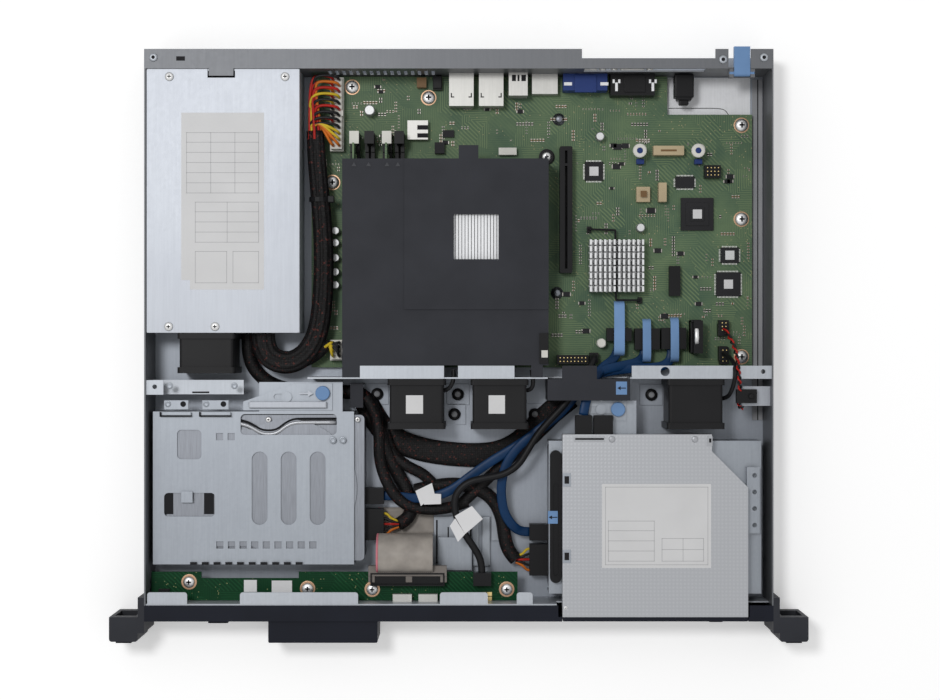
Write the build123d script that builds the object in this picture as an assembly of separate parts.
from build123d import *
from math import cos, radians, sin, tan
import os

# A one-unit rack server, seen with its lid off: millimetres, rear edge towards +Y, floor on Z = 0.

# Sheet steel and fits
SHEET = 1.0
BEND = 0.8
SEAT_GAP = 0.2
SLIDE_GAP = 0.3
PIN_PLAY = 0.05
PIN_R = 1.5

# Power supply
PSU_SIDE_GAP = 0.6
PSU_WIDTH = 105.4
PSU_LENGTH = 182.0
PSU_WALL = 1.0
PSU_BOARD_GAP = 5.5
PSU_FAN_OFFSET = 41.0
PSU_FAN_DEPTH = 28.0
INLET_OFFSET = 25.5
INLET_WIDTH = 27.0
INLET_HEIGHT = 20.0
INLET_DEPTH = 20.0
INLET_RIM = 2.5
INLET_PIN = 2.0
PSU_EXIT_X = (78.4, 66.4)
PSU_EXIT_Z = (24.0, 11.0)
PSU_EXIT_R = (6.5, 4.0)
PSU_VENTS = 9

# Main board, in three lanes from left to right
HARNESS_LANE = 24.0
SHROUD_WIDTH = 142.5
EXPANSION_LANE = 145.5
BOARD_DEPTH = 206.0
BOARD_THICKNESS = 1.6
BOARD_SIDE_GAP = 8.5
BOARD_REAR_GAP = 0.5
STANDOFF_HEIGHT = 4.5
STANDOFF_R = 3.0
BOARD_NOTCH_WIDTH = 60.0
BOARD_NOTCH_DEPTH = 27.0

# Processor, its heatsink and the air shroud
SOCKET_SIZE = 42.0
SOCKET_HEIGHT = 7.2
SOCKET_FRAME_HEIGHT = 4.3
SPREADER_SIZE = 29.4
CPU_Y = 90.5
SINK_LEFT_GAP = 8.0
SINK_RIGHT_GAP = 10.0
SINK_LENGTH = 96.0
SINK_BASE = 4.0
SINK_FIN = 0.7
SINK_PITCH = 2.2
SHROUD_WALL = 1.6
SHROUD_LENGTH = 142.7
SHROUD_TOP_GAP = 0.4
SHROUD_STEP = 0.9
SHROUD_SPLIT = 44.5
SHROUD_WINDOW = 31.0
SHROUD_LEG_WIDTHS = (12.0, 8.0)
SHROUD_LEG_INSET = 12.0
SHROUD_LUG_R = 5.5
SHROUD_PANEL_FRONT = 50.2
SHROUD_TAB_LEFT = 12.0
SHROUD_TAB_WIDTH = 13.5
SHROUD_TAB_REACH = 9.2

# Memory
DIMM_LANES = (7.4, 17.9, 30.1, 38.8)
DIMM_FILLED = (0, 2)
DIMM_LENGTH = 133.35
DIMM_HEIGHT = 30.0
DIMM_BOARD = 1.3
DIMM_SEAT = 2.0
DIMM_SOCKET_WIDTH = 6.6
DIMM_SOCKET_HEIGHT = 8.5
DIMM_TOWER_HEIGHT = 17.0
DIMM_TOWER_LENGTH = 9.0
DIMM_SLIT = 1.7
DIMM_REAR = 50.0
DIMM_LATCH_WIDTH = 3.4
DIMM_LATCH_HEIGHT = 20.0
DIMM_LATCH_THICK = 4.4
DIMM_PIVOT_HEIGHT = 6.5

# Expansion slot and chipset heatsink
SLOT_X = 13.3
SLOT_REAR = 50.5
SLOT_LENGTH = 89.0
SLOT_WIDTH = 8.8
SLOT_HEIGHT = 11.2
SLOT_SLIT = 1.8
CHIPSET_X = 48.6
CHIPSET_Y = 71.5
CHIPSET_WIDTH = 38.0
CHIPSET_LENGTH = 36.5
CHIPSET_HEIGHT = 14.0
CHIPSET_BASE = 2.6
CHIPSET_COLUMNS = 12
CHIPSET_ROWS = 8
CHIPSET_FIN = 1.5
CHIPSET_ROW_GAP = 1.0

# Sockets at the rear edge, placed from the shroud's right side
NETWORK_X = (-60.3, -39.4)
NETWORK_WIDTH = 17.2
NETWORK_LENGTH = 24.0
NETWORK_HEIGHT = 13.4
NETWORK_MOUTH_WIDTH = 11.9
NETWORK_MOUTH_HEIGHT = 8.2
NETWORK_MOUTH_DEPTH = 13.0
NETWORK_MOUTH_LIFT = 3.6
USB_X = -20.5
USB_WIDTH = 13.2
USB_LENGTH = 17.0
USB_HEIGHT = 15.6
USB_LEVELS = (4.1, 11.5)
ESATA_X = -1.6
ESATA_WIDTH = 18.0
ESATA_LENGTH = 15.0
ESATA_HEIGHT = 9.0
DSUB_X = (26.6, 59.9)
DSUB_WIDTH = 31.0
DSUB_LENGTH = (12.0, 15.5)
DSUB_HEIGHT = 12.5
DSUB_SHELL_WIDTH = 17.0
DSUB_SHELL_HEIGHT = 8.4
DSUB_SHELL_REACH = 5.5
DSUB_WALL = 0.7
DSUB_SCREW_SPACING = 25.0
DSUB_SCREW_R = 2.4

# Fans
FAN_SIZE = 40.0
FAN_DEPTH = 34.5
FAN_SEAT = 0.3
FAN_BORE_R = 18.6
FAN_FLANGE = 4.2
FAN_WAIST = 1.3
FAN_CORNER_R = 2.0
FAN_HUB_R = 10.5
FAN_PLATE = 3.0
FAN_STRUT = 2.2
FAN_TIP_GAP = 0.8
FAN_BLADES = 7
FAN_BLADE_THICK = 1.1
FAN_BLADE_CHORD = 17.0
FAN_BLADE_PITCH = 38.0
FAN_BLADE_TWIST = 14.0
FAN_BEARING_R = 4.0
FAN_HUB_WALL = 1.4
FAN_SHARES = (0.36, 0.7628)
FAN_3_WALL_X = 52.3
WALL_BOARD_GAP = 6.5
WALL_FLANGE = 8.0
FLANGE_RUNS = ((-39.0, 19.0), (-28.7, 10.2))
FAN_DRIVE_GAP = 3.6

# Drives
HDD_LENGTH = 147.0
HDD_WIDTH = 101.6
HDD_HEIGHT = 26.1
HDD_STEP = 1.6
DRIVE_LIFT = 1.2
DRIVE_SIDE = 1.4
CAGE_LENGTH = 140.0
CAGE_WALL_GAP = 3.0
ODD_WIDTH = 128.0
ODD_LENGTH = 126.0
ODD_HEIGHT = 12.7
ODD_BEZEL = 3.0
ODD_WALL = 0.8
ODD_CHAMFER = 25.0
ODD_CORNER_STEP = 11.6
ODD_SIDE_GAP = 16.4
ODD_TOP_GAP = 0.4
TRAY_THICK = 7.0
DISC_R = 60.5
DISC_WELL = 2.6
HUB_R = 16.0
HDD_2_LEFT_GAP = 9.0
HDD_2_FRONT = 20.0
SHELF_OVERHANG = 11.0
LATCH_THICK = 1.0
LATCH_BUTTON_R = 5.0
LATCH_BUTTON_HEIGHT = 3.5
LATCH_SLOT = 7.0
LATCH_RIVET_R = 1.8
LEVER_WIDTH = 8.0
LEVER_HEIGHT = 5.5
LEVER_LENGTH = 92.0
LEVER_GROOVE = 64.0
LEVER_GROOVE_Y = 37.0

# Front
BEZEL_DEPTH = 11.0
BEZEL_WALL = 3.0
BEZEL_LIP = 1.5
NOSE_LEFT = 84.4
NOSE_WIDTH = 75.5
NOSE_REACH = 15.0
BULKHEAD_FLANGE = 8.0
FRONT_BAY = 26.0
FRONT_BOARD_RIGHT = 257.0
FRONT_BOARD_DEPTH = 20.0
FRONT_BOARD_TOP = 24.0
BUTTON_X = 49.0
BUTTON_WIDTH = 13.8
BUTTON_HEIGHT = 9.0
BUTTON_REACH = 2.0
BUTTON_Z = 32.0
TAG_X = 213.0
TAG_WIDTH = 19.0
TAG_THICK = 1.2
TAG_LENGTH = 52.0
TAG_Z = 8.0
TAG_LIP = 2.6

# Rack ears and side studs
RACK_WIDTH = 482.4
EAR_GAP = 4.4
EAR_BACK = 3.0
EAR_REACH = 14.0
EAR_ARM_BACK = 16.5
EAR_WALL = 3.0
EAR_BOTTOM = 1.0
PADDLE_HEIGHT = 24.0
PADDLE_PROUD = 2.2
STUD_R = 3.0
STUD_LENGTH = 2.2
STUD_Z = 21.0
STUD_REAR = 65.5
STUD_FRONT = 45.0

# Rear wall
REAR_RECESS = 12.5
VENT_WIDTH = 2.4
VENT_HEIGHT = 18.0
VENT_PITCH = 4.8
VENT_COUNT = 16
TONGUE_X = 43.0
TONGUE_WIDTH = 17.0
TONGUE_LENGTH = 5.0
FLANGE_RECESS = 6.5
SLOT_OPENING_LEFT = 25.0
SLOT_OPENING_WIDTH = 84.0
SLOT_OPENING_BOTTOM = 27.0
CATCH_WIDTH = 11.0
CATCH_LENGTH = 20.5
CATCH_HEIGHT = 4.6
CATCH_WALL_GAP = 15.0

# Lid switch and cable holders
SWITCH_WIDTH = 14.0
SWITCH_DEPTH = 9.5
SWITCH_HEIGHT = 6.0
SWITCH_TOP = 40.0
SWITCH_WALL_GAP = 10.0
PLUNGER_R = 2.0
PLUNGER_REACH = 2.0
GUIDE_WIDTH = 57.0
GUIDE_WALL = 2.4
GUIDE_TOP = 40.0
CLIP_WIDTH = 9.0
CLIP_DEPTH = 17.0
CLIP_HEIGHT = 24.0

# Details of the pieces
WALL_CABLE_SILL = 10.0
POST_WIDTH = 12.0
POST_HOLE_R = 1.6
BRACKET_WIDTH = 66.0
BRACKET_DEPTH = 11.0
BRACKET_TOP = 28.0
SCREW_MARGIN = 7.5
BOARD_HOLE_R = 1.8
STANDOFF_LEFT = 4.8
STANDOFF_MIDDLE = 59.0
CHIP_COUNT = 8
CHIP_WIDTH = 10.5
CHIP_HEIGHT = 9.0
CHIP_THICK = 1.1
CHIP_LIFT = 18.0
SLOT_KEY = 12.0
SLOT_SEAT = 3.0
MAIN_SOCKET_X = -10.4
MAIN_SOCKET_LENGTH = 52.0
MAIN_SOCKET_REAR = 1.5
POWER_SOCKET_WIDTH = 9.6
POWER_SOCKET_HEIGHT = 13.0
CPU_SOCKET_LENGTH = 14.5
CPU_SOCKET_FRONT = 5.0
PLUG_LIP = 1.0
USB_MOUTH_WIDTH = 12.2
USB_MOUTH_HEIGHT = 5.2
USB_MOUTH_DEPTH = 11.0
USB_TONGUE = 1.9
CAGE_FOOT = 9.0
HDD_CORNER_R = 3.0
HDD_SPINDLE_X = 20.6
HDD_DISC_R = 47.8
HDD_COVER = (73.5, 81.3)
LEDGE_LEFT = 74.0
LEDGE_WIDTH = 58.0
LEDGE_DEPTH = 20.5
SLOT_COUNT = 3
CAGE_SLOT_LENGTH = 51.0
CAGE_SLOT_WIDTH = 11.0
CAGE_SLOT_PITCH = 20.2
CAGE_SLOT_PLACE = (45.5, 53.0)
CAGE_CORNER_R = 3.0
CAGE_HOLE = (25.3, 23.0, 17.0, 20.5)
CAGE_WINDOW = (25.5, 41.5, 35.5, 16.5)
CAGE_CUT_OUT = (94.5, 9.0, 67.0, 14.5)
SQUARE_PLACE = (79.0, 13.5)
PAIR_PLACE = (50.5, 17.5)
SQUARE = 5.0
SQUARE_PITCH = 8.1
SQUARE_COUNT = 9
LATCH_TAPER = 25.0
LATCH_BUTTON_INSET = 6.6
LATCH_NECK = 6.0
LATCH_REACH = 11.0
OPTICAL_LEDGE_LEFT = 15.0
OPTICAL_LEDGE_WIDTH = 37.0
OPTICAL_LEDGE_DEPTH = 28.0
OPTICAL_RIVET_GAP = 6.0
HANGER_LENGTH = 46.0
HANGER_WIDTH = 9.0
HANGER_HEIGHT = 5.0
HANGER_HOLES = 4
HANGER_FRONT = 60.0
HANGER_HOLE_X = 5.4
TRAY_SIDE_GAP = 0.5
TRAY_REAR_GAP = 3.0
EJECT_WIDTH = 9.0
EJECT_HEIGHT = 2.8
EJECT_SIDE = 22.0
EJECT_REACH = 0.6
EJECT_TOP = 1.4
PLUG_LENGTH = 13.0
PLUG_WIDTHS = (11.5, 22.0)
PLUG_HEIGHT = 9.0
PLUG_Z = 5.0
PLUG_SIDE = (57.5, 77.5)
PLUG_SIDE_RIGHT = (39.0, 19.5)
ODD_PLUG_WIDTHS = (11.5, 13.0)
ODD_PLUG_GAP = 1.5
USB_FRONT_WIDTH = 13.2
USB_FRONT_HEIGHT = 6.4
USB_FRONT_LENGTH = 17.0
USB_FRONT_X = (176.6, 194.5)
FRONT_VENT_Z = 11.8
FRONT_VENTS = 17
TAB_RUNS = ((1.0, 28.5), (65.0, 146.5), (203.0, 236.0), (256.0, 267.0))
SUPPORT_RUNS = ((20.0, 34.0), (120.0, 134.0), (238.0, 252.0))
BOARD_DIP = (36.0, 104.0)
BOARD_DIP_DEPTH = 4.5
HEADER_RUN = (154.5, 206.0)
CABLE_PLUG_RUN = (226.0, 238.5)
HEADER_DEPTH = 9.0
HEADER_HEIGHT = 8.0
HOOK_LENGTH = 8.0
PLUNGER_DEPTH = 4.0
GUIDE_DEPTH = 15.0
GUIDE_TONGUE = (10.0, 24.0)
CLIP_X = 13.5
CLIP_WALL_GAP = 3.45

# Parts on the main board: across from the shroud, in from the board's front edge, then their sizes
RIGHT_BLOCKS = (
    (106.4, 108.4, 23.0, 23.0, 2.2), (129.5, 79.4, 13.0, 11.0, 2.0), (128.5, 58.9, 17.4, 17.0, 2.0),
    (33.4, 138.8, 13.0, 13.4, 2.0), (85.7, 152.9, 21.5, 6.5, 8.0), (116.7, 138.1, 11.3, 8.8, 8.0),
    (97.7, 131.0, 13.5, 8.3, 2.0), (68.0, 122.2, 9.5, 10.6, 5.0), (81.4, 123.5, 5.6, 13.4, 8.0),
    (90.2, 61.1, 7.8, 21.0, 6.0), (105.1, 21.5, 6.4, 23.0, 20.0), (50.7, 23.3, 17.5, 9.0, 9.0),
    (70.5, 20.1, 17.5, 15.0, 9.0), (89.2, 20.5, 17.5, 15.0, 9.0), (124.5, 28.9, 7.0, 9.0, 8.0),
    (124.9, 8.4, 6.4, 12.0, 8.0), (18.1, 5.6, 22.0, 6.4, 9.0), (33.0, 7.0, 6.0, 7.0, 8.0),
    (-88.4, 201.0, 6.7, 7.0, 6.0), (-77.2, 200.5, 6.4, 9.0, 5.0),
)
LEFT_BLOCKS = (
    (66.8, 155.0, 6.9, 7.8, 5.0), (73.1, 165.3, 7.8, 5.0, 2.0), (51.4, 167.4, 14.4, 13.4, 7.0),
    (114.8, 152.5, 12.6, 5.0, 6.0),
)
RIGHT_CANS = ((37.3, 162.8, 3.0, 9.0), (65.9, 98.5, 3.0, 9.0), (38.3, 17.2, 3.2, 9.0),
              (65.9, 153.3, 3.5, 14.0), (107.2, 153.3, 3.5, 14.0))
LEFT_CANS = ((17.6, 180.9, 3.7, 11.0), (-6.5, 96.4, 2.8, 8.0), (-6.5, 87.9, 2.8, 8.0),
             (-6.5, 77.3, 2.8, 8.0), (-6.5, 67.4, 2.8, 8.0), (-6.5, 58.2, 2.8, 8.0))

# Lines of the layout as the routes and the board parts were drawn, which they follow when a size changes
BOARD_STRIP = 30.0
PLAN_DEPTHS = (-165.25, -53.05, -30.05, -22.55, 7.45, 183.45)
PLAN_REAR = (-110.0, -80.5, 62.0)
PLAN_BAY = (-66.0, -53.0, 49.6, 62.6)

# Cables
ARC_SHARE = 0.45
SLEEVE_SIZE = (13.0, 3.0)
RIBBON_SIZE = (34.0, 1.0)
DATA_R = 3.0
USB_CABLE_R = 2.5
USB_CABLE_X = 232.0
USB_CABLE_Z = 28.0
PLUG_RUN = 6.75
RIBBON_X = 184.0

# Layout across, from the left wall to the right wall
board_width = HARNESS_LANE + SHROUD_WIDTH + EXPANSION_LANE
inner_width = PSU_SIDE_GAP + PSU_WIDTH + PSU_BOARD_GAP + board_width + BOARD_SIDE_GAP
chassis_width = inner_width + 2 * SHEET
left_out = -chassis_width / 2
right_out = chassis_width / 2
left_in = left_out + SHEET
right_in = right_out - SHEET
psu_left = left_in + PSU_SIDE_GAP
psu_right = psu_left + PSU_WIDTH
board_left = psu_right + PSU_BOARD_GAP
shroud_left = board_left + HARNESS_LANE
shroud_right = shroud_left + SHROUD_WIDTH
board_right = shroud_right + EXPANSION_LANE
odd_right = right_in - ODD_SIDE_GAP
odd_left = odd_right - ODD_WIDTH
hdd_2_left = odd_left - HDD_2_LEFT_GAP

# Layout in depth, from the front face to the rear edge
odd_depth = ODD_BEZEL + ODD_LENGTH
fan_depth = FAN_DEPTH + FAN_SEAT
front_part = odd_depth + FAN_DRIVE_GAP + fan_depth + SHEET + WALL_BOARD_GAP
rear_part = BOARD_DEPTH + BOARD_REAR_GAP + SHEET + REAR_RECESS
chassis_depth = front_part + rear_part
front_y = -chassis_depth / 2
rear_y = chassis_depth / 2
odd_rear = front_y + odd_depth
fan_front = odd_rear + FAN_DRIVE_GAP
wall_front = fan_front + fan_depth
wall_rear = wall_front + SHEET
board_front = wall_rear + WALL_BOARD_GAP
board_rear = board_front + BOARD_DEPTH
rear_in = board_rear + BOARD_REAR_GAP
rear_out = rear_in + SHEET
tray_front = front_y + BEZEL_DEPTH
bulkhead_rear = tray_front + SHEET
cage_front = bulkhead_rear + FRONT_BAY
cage_rear = cage_front + HDD_WIDTH + 2 * (DRIVE_SIDE + SHEET)
psu_rear = rear_in - SEAT_GAP
psu_front = psu_rear - PSU_LENGTH

# Layout in height
floor_top = SHEET
drive_bottom = floor_top + DRIVE_LIFT
drive_top = drive_bottom + HDD_HEIGHT
shelf_bottom = drive_top
shelf_top = shelf_bottom + SHEET
odd_top = shelf_top + ODD_HEIGHT
chassis_height = odd_top + ODD_TOP_GAP
flange_bottom = chassis_height - SHEET
board_bottom = floor_top + STANDOFF_HEIGHT
board_top = board_bottom + BOARD_THICKNESS
psu_top = flange_bottom - SEAT_GAP
fan_z = floor_top + SEAT_GAP + FAN_SIZE / 2
shroud_top = chassis_height - SHROUD_TOP_GAP
button_x = left_in + BUTTON_X
tag_x = left_in + TAG_X


def span(x0, x1, y0, y1, z0, z1):
    """A block between two corners."""
    middle = Pos((x0 + x1) / 2, (y0 + y1) / 2, (z0 + z1) / 2)
    return middle * Box(x1 - x0, y1 - y0, z1 - z0)


def rod_x(radius, x0, x1, y, z):
    return Pos((x0 + x1) / 2, y, z) * Rot(0, 90, 0) * Cylinder(radius, x1 - x0)


def rod_y(radius, y0, y1, x, z):
    return Pos(x, (y0 + y1) / 2, z) * Rot(90, 0, 0) * Cylinder(radius, y1 - y0)


def rod_z(radius, z0, z1, x, y):
    return Pos(x, y, (z0 + z1) / 2) * Cylinder(radius, z1 - z0)


def rectangle(x0, x1, y0, y1):
    """A flat rectangle between two corners, on the plane that it is later placed on."""
    return Pos((x0 + x1) / 2, (y0 + y1) / 2) * Rectangle(x1 - x0, y1 - y0)


def facing_front(y):
    """An upright plane at depth y, drawn in X and Z, that extrudes towards the front."""
    return Plane((0, y, 0), x_dir=(1, 0, 0), z_dir=(0, -1, 0))


def facing_right(x):
    """An upright plane at width x, drawn in Y and Z, that extrudes towards the right."""
    return Plane((x, 0, 0), x_dir=(0, 1, 0), z_dir=(1, 0, 0))


def flat_plate(outline, bottom, thickness):
    return Pos(0, 0, bottom) * extrude(outline, thickness)


def slot_row(plane, x, z, count, depth):
    """A row of upright vent slots, as solids to cut with."""
    slot = Rectangle(VENT_WIDTH, VENT_HEIGHT)
    first = x - (count - 1) * VENT_PITCH / 2
    return [extrude(plane * Pos(first + i * VENT_PITCH, z) * slot, depth) for i in range(count)]


# Case

stud_places = (front_y + STUD_FRONT, rear_y - STUD_REAR)


def chassis_base():
    """Floor and side walls folded from one sheet, with the round studs that hang in a rack rail."""
    profile = rectangle(left_out, right_out, 0, chassis_height)
    profile -= rectangle(left_in, right_in, floor_top, chassis_height + SHEET)
    folds = [corner for corner in profile.vertices() if abs(corner.Y) < SHEET / 2]
    profile = fillet(folds, BEND)
    tray = extrude(facing_front(rear_y) * profile, rear_y - tray_front)
    for y in stud_places:
        tray += rod_x(STUD_R, left_out - STUD_LENGTH, left_out, y, STUD_Z)
        tray += rod_x(STUD_R, right_out, right_out + STUD_LENGTH, y, STUD_Z)
    return tray


# Rear wall and its sockets

network_places = [shroud_right + offset for offset in NETWORK_X]
usb_x = shroud_right + USB_X
esata_x = shroud_right + ESATA_X
dsub_places = [shroud_right + offset for offset in DSUB_X]
dsub_z = board_top + DSUB_HEIGHT / 2
slot_opening_left = shroud_right + SLOT_OPENING_LEFT
slot_opening_right = slot_opening_left + SLOT_OPENING_WIDTH
catch_right = right_in - CATCH_WALL_GAP
catch_left = catch_right - CATCH_WIDTH
catch_ear = 2 * PIN_R
catch_bottom = chassis_height - CATCH_HEIGHT
catch_pivot_y = rear_in - 2 * PIN_R
catch_pivot_z = catch_bottom + CATCH_HEIGHT / 2


def rear_panel():
    """Rear wall with its socket holes, vent slots, card opening, top flange and catch ears."""
    wall = rectangle(left_in, right_in, floor_top, chassis_height)
    margin = 4 * SHEET
    wall -= rectangle(psu_left + margin, psu_right - margin, floor_top + margin, psu_top - margin)
    for x in network_places:
        half = NETWORK_WIDTH / 2 + SEAT_GAP
        wall -= rectangle(x - half, x + half, board_top - SEAT_GAP, board_top + NETWORK_HEIGHT + SEAT_GAP)
    half = USB_WIDTH / 2 + SEAT_GAP
    wall -= rectangle(usb_x - half, usb_x + half, board_top - SEAT_GAP, board_top + USB_HEIGHT + SEAT_GAP)
    half = ESATA_WIDTH / 2 + SEAT_GAP
    wall -= rectangle(esata_x - half, esata_x + half, board_top - SEAT_GAP,
                      board_top + ESATA_HEIGHT + SEAT_GAP)
    for x in dsub_places:
        wall -= Pos(x, dsub_z) * Rectangle(DSUB_SHELL_WIDTH + SHEET, DSUB_SHELL_HEIGHT + SHEET)
        for side in (-1, 1):
            wall -= Pos(x + side * DSUB_SCREW_SPACING / 2, dsub_z) * Circle(DSUB_SCREW_R + SEAT_GAP)
    wall -= rectangle(slot_opening_left, slot_opening_right, SLOT_OPENING_BOTTOM, flange_bottom - SHEET)
    wall -= rectangle(catch_left - SLIDE_GAP, catch_right + SLIDE_GAP,
                      catch_bottom - 2 * SHEET, chassis_height + SHEET)
    vent_x = board_left + HARNESS_LANE / 2 + VENT_COUNT * VENT_PITCH / 2
    panel = extrude(facing_front(rear_out) * wall, SHEET)
    panel -= slot_row(facing_front(rear_out + SHEET), vent_x, fan_z, VENT_COUNT, 3 * SHEET)
    flange = rectangle(left_in, right_in, rear_in, rear_y)
    flange -= rectangle(slot_opening_left - 2 * SHEET, slot_opening_right + 6 * SHEET,
                        rear_y - FLANGE_RECESS, rear_y)
    flange -= rectangle(catch_left - 4 * SHEET, catch_right + SLIDE_GAP, rear_in, rear_y)
    flange += rectangle(psu_left + TONGUE_X, psu_left + TONGUE_X + TONGUE_WIDTH,
                        rear_in - TONGUE_LENGTH, rear_in)
    panel += flat_plate(flange, flange_bottom, SHEET)
    for near, far in ((catch_left - SLIDE_GAP, -1), (catch_right + SLIDE_GAP, 1)):
        x0, x1 = sorted((near, near + far * catch_ear))
        ear = span(x0, x1, catch_pivot_y - 2 * PIN_R, rear_in, catch_bottom - 2 * SHEET, flange_bottom)
        panel += ear - rod_x(PIN_R + PIN_PLAY, x0 - SHEET, x1 + SHEET, catch_pivot_y, catch_pivot_z)
    return panel


def expansion_catch():
    """Blue catch over the card opening: a rounded arm on a cross pin, with a finger dip."""
    tip = rear_in + CATCH_LENGTH - 2 * PIN_R - CATCH_HEIGHT / 2
    arm = rectangle(catch_pivot_y, tip, catch_bottom, chassis_height)
    arm += Pos(catch_pivot_y, catch_pivot_z) * Circle(CATCH_HEIGHT / 2)
    dip_r = 2 * CATCH_LENGTH
    arm -= Pos((catch_pivot_y + tip) / 2 + PIN_R, chassis_height + dip_r - CATCH_HEIGHT / 8) * Circle(dip_r)
    catch = extrude(facing_right(catch_left) * arm, CATCH_WIDTH)
    return catch + rod_x(PIN_R, catch_left - catch_ear, catch_right + catch_ear, catch_pivot_y, catch_pivot_z)


# Power supply

psu_fan_x = psu_left + PSU_FAN_OFFSET
inlet_x = psu_left + INLET_OFFSET
inlet_z = floor_top + (psu_top - floor_top) / 2


def psu_case():
    """Open steel box with the fan hole and cable exits in front, the inlet hole and vents behind."""
    lid_bottom = psu_top - PSU_WALL
    case = span(psu_left, psu_right, psu_front, psu_rear, floor_top, lid_bottom)
    case -= span(psu_left + PSU_WALL, psu_right - PSU_WALL, psu_front + PSU_WALL, psu_rear - PSU_WALL,
                 floor_top + PSU_WALL, psu_top)
    beyond = psu_front - PSU_WALL
    inside = psu_front + 2 * PSU_WALL
    case -= rod_y(FAN_BORE_R, beyond, inside, psu_fan_x, fan_z)
    for offset, z, radius in zip(PSU_EXIT_X, PSU_EXIT_Z, PSU_EXIT_R):
        case -= rod_y(radius + SEAT_GAP, beyond, inside, psu_left + offset, z)
    case -= span(inlet_x - INLET_WIDTH / 2 - SEAT_GAP, inlet_x + INLET_WIDTH / 2 + SEAT_GAP,
                 psu_rear - 2 * PSU_WALL, psu_rear + PSU_WALL,
                 inlet_z - INLET_HEIGHT / 2 - SEAT_GAP, inlet_z + INLET_HEIGHT / 2 + SEAT_GAP)
    vent_x = psu_right - (PSU_VENTS + 1) * VENT_PITCH / 2
    case -= slot_row(facing_front(psu_rear + PSU_WALL), vent_x, inlet_z, PSU_VENTS, 3 * PSU_WALL)
    return case


def psu_lid():
    """Flat lid with a notch that lets the rear flange's tongue hook over the supply."""
    lid = rectangle(psu_left, psu_right, psu_front, psu_rear)
    middle = psu_left + TONGUE_X + TONGUE_WIDTH / 2
    notch = Pos(middle, psu_rear) * Rectangle(TONGUE_WIDTH + 2 * SHEET, 2 * TONGUE_LENGTH + 2 * SHEET)
    corners = [corner for corner in lid.vertices()]
    lid = fillet(corners, PSU_WALL) - notch
    return flat_plate(lid, psu_top - PSU_WALL, PSU_WALL)


def psu_inlet():
    """Mains inlet: a flanged box with a recess that has two cut corners, and three blades."""
    rear = psu_rear + PSU_WALL
    body = span(inlet_x - INLET_WIDTH / 2, inlet_x + INLET_WIDTH / 2, rear - INLET_DEPTH, rear,
                inlet_z - INLET_HEIGHT / 2, inlet_z + INLET_HEIGHT / 2)
    body += span(inlet_x - INLET_WIDTH / 2 - INLET_RIM, inlet_x + INLET_WIDTH / 2 + INLET_RIM,
                 psu_rear, rear, inlet_z - INLET_HEIGHT / 2 - INLET_RIM,
                 inlet_z + INLET_HEIGHT / 2 + INLET_RIM)
    mouth = Rectangle(INLET_WIDTH - 2 * INLET_RIM, INLET_HEIGHT - 2 * INLET_RIM)
    mouth = chamfer(mouth.vertices().group_by(Axis.Y)[-1], 2 * INLET_RIM)
    depth = INLET_DEPTH - INLET_RIM
    body -= extrude(facing_front(rear) * Pos(inlet_x, inlet_z) * mouth, depth)
    blades = ((-INLET_WIDTH / 4, -INLET_PIN), (0, INLET_PIN), (INLET_WIDTH / 4, -INLET_PIN))
    for x, z in blades:
        blade = Pos(inlet_x + x, inlet_z + z) * Rectangle(INLET_PIN, 2 * INLET_PIN)
        body += extrude(facing_front(rear - 2 * INLET_RIM) * blade, INLET_DEPTH - 3 * INLET_RIM)
    return body


# Fans

fan_places = [shroud_left + share * SHROUD_WIDTH for share in FAN_SHARES] + [right_in - FAN_3_WALL_X]


def fan_housing(x, front, depth):
    """Square frame with two flanges, a narrower waist, the bore and the motor plate on its struts."""
    rear = front + depth
    centre = Pos(x, fan_z)
    flange = RectangleRounded(FAN_SIZE, FAN_SIZE, FAN_CORNER_R)
    waist = RectangleRounded(FAN_SIZE - 2 * FAN_WAIST, FAN_SIZE - 2 * FAN_WAIST, FAN_CORNER_R)
    frame = extrude(facing_front(rear) * centre * waist, depth)
    frame += extrude(facing_front(rear) * centre * flange, FAN_FLANGE)
    frame += extrude(facing_front(front + FAN_FLANGE) * centre * flange, FAN_FLANGE)
    frame -= rod_y(FAN_BORE_R, front - FAN_FLANGE, rear + FAN_FLANGE, x, fan_z)
    strut = Pos((FAN_BORE_R + FAN_WAIST) / 2, 0) * Rectangle(FAN_BORE_R + FAN_WAIST, FAN_STRUT)
    plate = Circle(FAN_HUB_R) + [Rot(0, 0, 90 * i + 45) * strut for i in range(4)]
    frame += extrude(facing_front(rear) * centre * plate, FAN_PLATE)
    bearing_front = front + 4 * FAN_HUB_WALL
    frame += rod_y(FAN_BEARING_R, bearing_front, rear - FAN_PLATE, x, fan_z)
    frame -= rod_y(PIN_R + PIN_PLAY, bearing_front - FAN_PLATE, rear + FAN_PLATE, x, fan_z)
    return frame


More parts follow.
